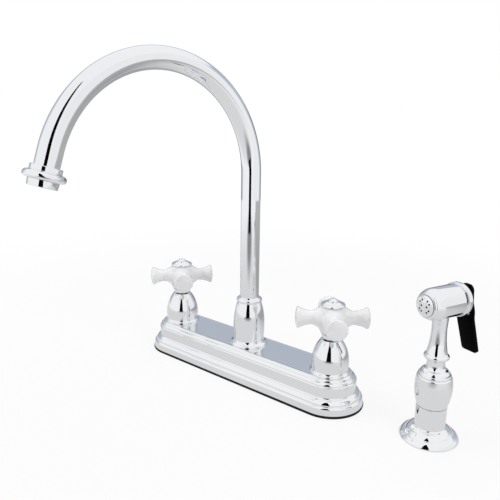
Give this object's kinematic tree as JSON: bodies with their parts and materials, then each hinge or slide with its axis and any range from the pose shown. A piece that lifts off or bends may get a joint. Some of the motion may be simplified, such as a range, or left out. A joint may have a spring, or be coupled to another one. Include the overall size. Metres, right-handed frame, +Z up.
{
  "type": "side spray kitchen faucet",
  "caption": "Deck-mounted kitchen faucet: oblong chrome plate, swivelling gooseneck spout, white porcelain cross handles and a separate lever hand spray in its holder.",
  "frame": {"origin": "on the spout's turning axis at the deck's top, which is the underside of the gasket", "axes": "+Z up; +X along the deck plate, towards the cold valve and the hand spray; -Y towards the sink, over which the spout reaches"},
  "size_m": [0.3612, 0.2731, 0.3845],
  "materials": {
    "black_rubber": "black rubber",
    "chrome": "polished chrome plate",
    "brass": "machined brass",
    "white_nylon": "natural white moulded plastic",
    "disc_ceramic": "lapped alumina ceramic",
    "black_matt": "matt black moulded plastic",
    "porcelain": "glossy white glazed porcelain",
    "plated_steel": "zinc-plated steel",
    "black_gloss": "glossy black moulded plastic"
  },
  "bodies": {
    "deck_body": {"deck_gasket": "black_rubber", "deck_plate": "chrome", "spout_hub": "brass", "spout_bell": "chrome", "swivel_nut": "brass", "glide_ring": "white_nylon", "hot_valve_body": "brass", "hot_water_way": "brass", "hot_handle_bell": "chrome", "hot_cartridge": "brass", "hot_fixed_disc": "disc_ceramic", "hot_seat_seal": "black_rubber", "hot_mounting_washer": "black_matt", "hot_mounting_nut": "brass", "cold_valve_body": "brass", "cold_water_way": "brass", "cold_handle_bell": "chrome", "cold_cartridge": "brass", "cold_fixed_disc": "disc_ceramic", "cold_seat_seal": "black_rubber", "cold_mounting_washer": "black_matt", "cold_mounting_nut": "brass", "spray_holder": "chrome", "holder_washer": "black_matt", "holder_nut": "brass"},
    "spout": {"gooseneck_tube": "chrome", "swivel_bush": "brass", "swivel_seals": "black_rubber", "spout_tip": "chrome", "aerator_housing": "chrome", "aerator_insert": "black_matt", "aerator_washer": "black_rubber"},
    "hot_handle": {"hot_cross": "porcelain", "hot_hub_cup": "chrome", "hot_index_cap": "chrome", "hot_handle_screw": "plated_steel", "hot_stem": "brass", "hot_turning_disc": "disc_ceramic"},
    "cold_handle": {"cold_cross": "porcelain", "cold_hub_cup": "chrome", "cold_index_cap": "chrome", "cold_handle_screw": "plated_steel", "cold_stem": "brass", "cold_turning_disc": "disc_ceramic"},
    "diverter": {"diverter_plunger": "brass", "diverter_spring": "plated_steel"},
    "hose_end": {"hose_coupling": "brass"},
    "spray_wand": {"wand_grip": "chrome", "spray_head": "chrome", "nozzle_plate": "chrome", "head_cap": "chrome", "lever_pin": "plated_steel"},
    "spray_valve": {"valve_rod": "chrome", "valve_washer": "black_rubber", "valve_spring": "plated_steel"},
    "spray_trigger": {"spray_lever": "black_gloss"}
  },
  "joints": [
    {"name": "spout_swivel", "type": "hinge", "parent": "deck_body", "child": "spout", "pos_m": [0, 0, 0.0425], "axis": [0, 0, 1], "continuous": true},
    {"name": "hot_turn", "type": "hinge", "parent": "deck_body", "child": "hot_handle", "pos_m": [-0.1016, 0, 0.087], "axis": [0, 0, 1], "range_deg": [0, 90]},
    {"name": "cold_turn", "type": "hinge", "parent": "deck_body", "child": "cold_handle", "pos_m": [0.1016, 0, 0.087], "axis": [0, 0, 1], "range_deg": [-90, 0]},
    {"name": "diverter_slide", "type": "slide", "parent": "deck_body", "child": "diverter", "axis": [0, 0, 1], "range_m": [-0.003, 0], "stiffness_N_per_m": 20, "springref_m": 0.011, "deforming": ["diverter_spring"]},
    {"name": "spray_lift", "type": "slide", "parent": "deck_body", "child": "hose_end", "axis": [0, 0, 1], "range_m": [0, 0.35]},
    {"name": "spray_spin", "type": "hinge", "parent": "hose_end", "child": "spray_wand", "pos_m": [0.2009, 0.0068, 0.0235], "axis": [0, 0, 1], "continuous": true},
    {"name": "lever_squeeze", "type": "hinge", "parent": "spray_wand", "child": "spray_trigger", "pos_m": [0.20952, 0.02962, 0.1128], "axis": [-0.9354, 0.3535, 0], "range_deg": [0, 10]},
    {"name": "valve_pull", "type": "slide", "parent": "spray_wand", "child": "spray_valve", "axis": [0.3535, 0.9354, 0], "range_m": [0, 0.00206], "stiffness_N_per_m": 500, "springref_m": -0.008, "deforming": ["valve_spring"]}
  ],
  "couplings": [
    {"joint": "lever_squeeze", "follows": "valve_pull", "rad_per_m": 84.746}
  ]
}
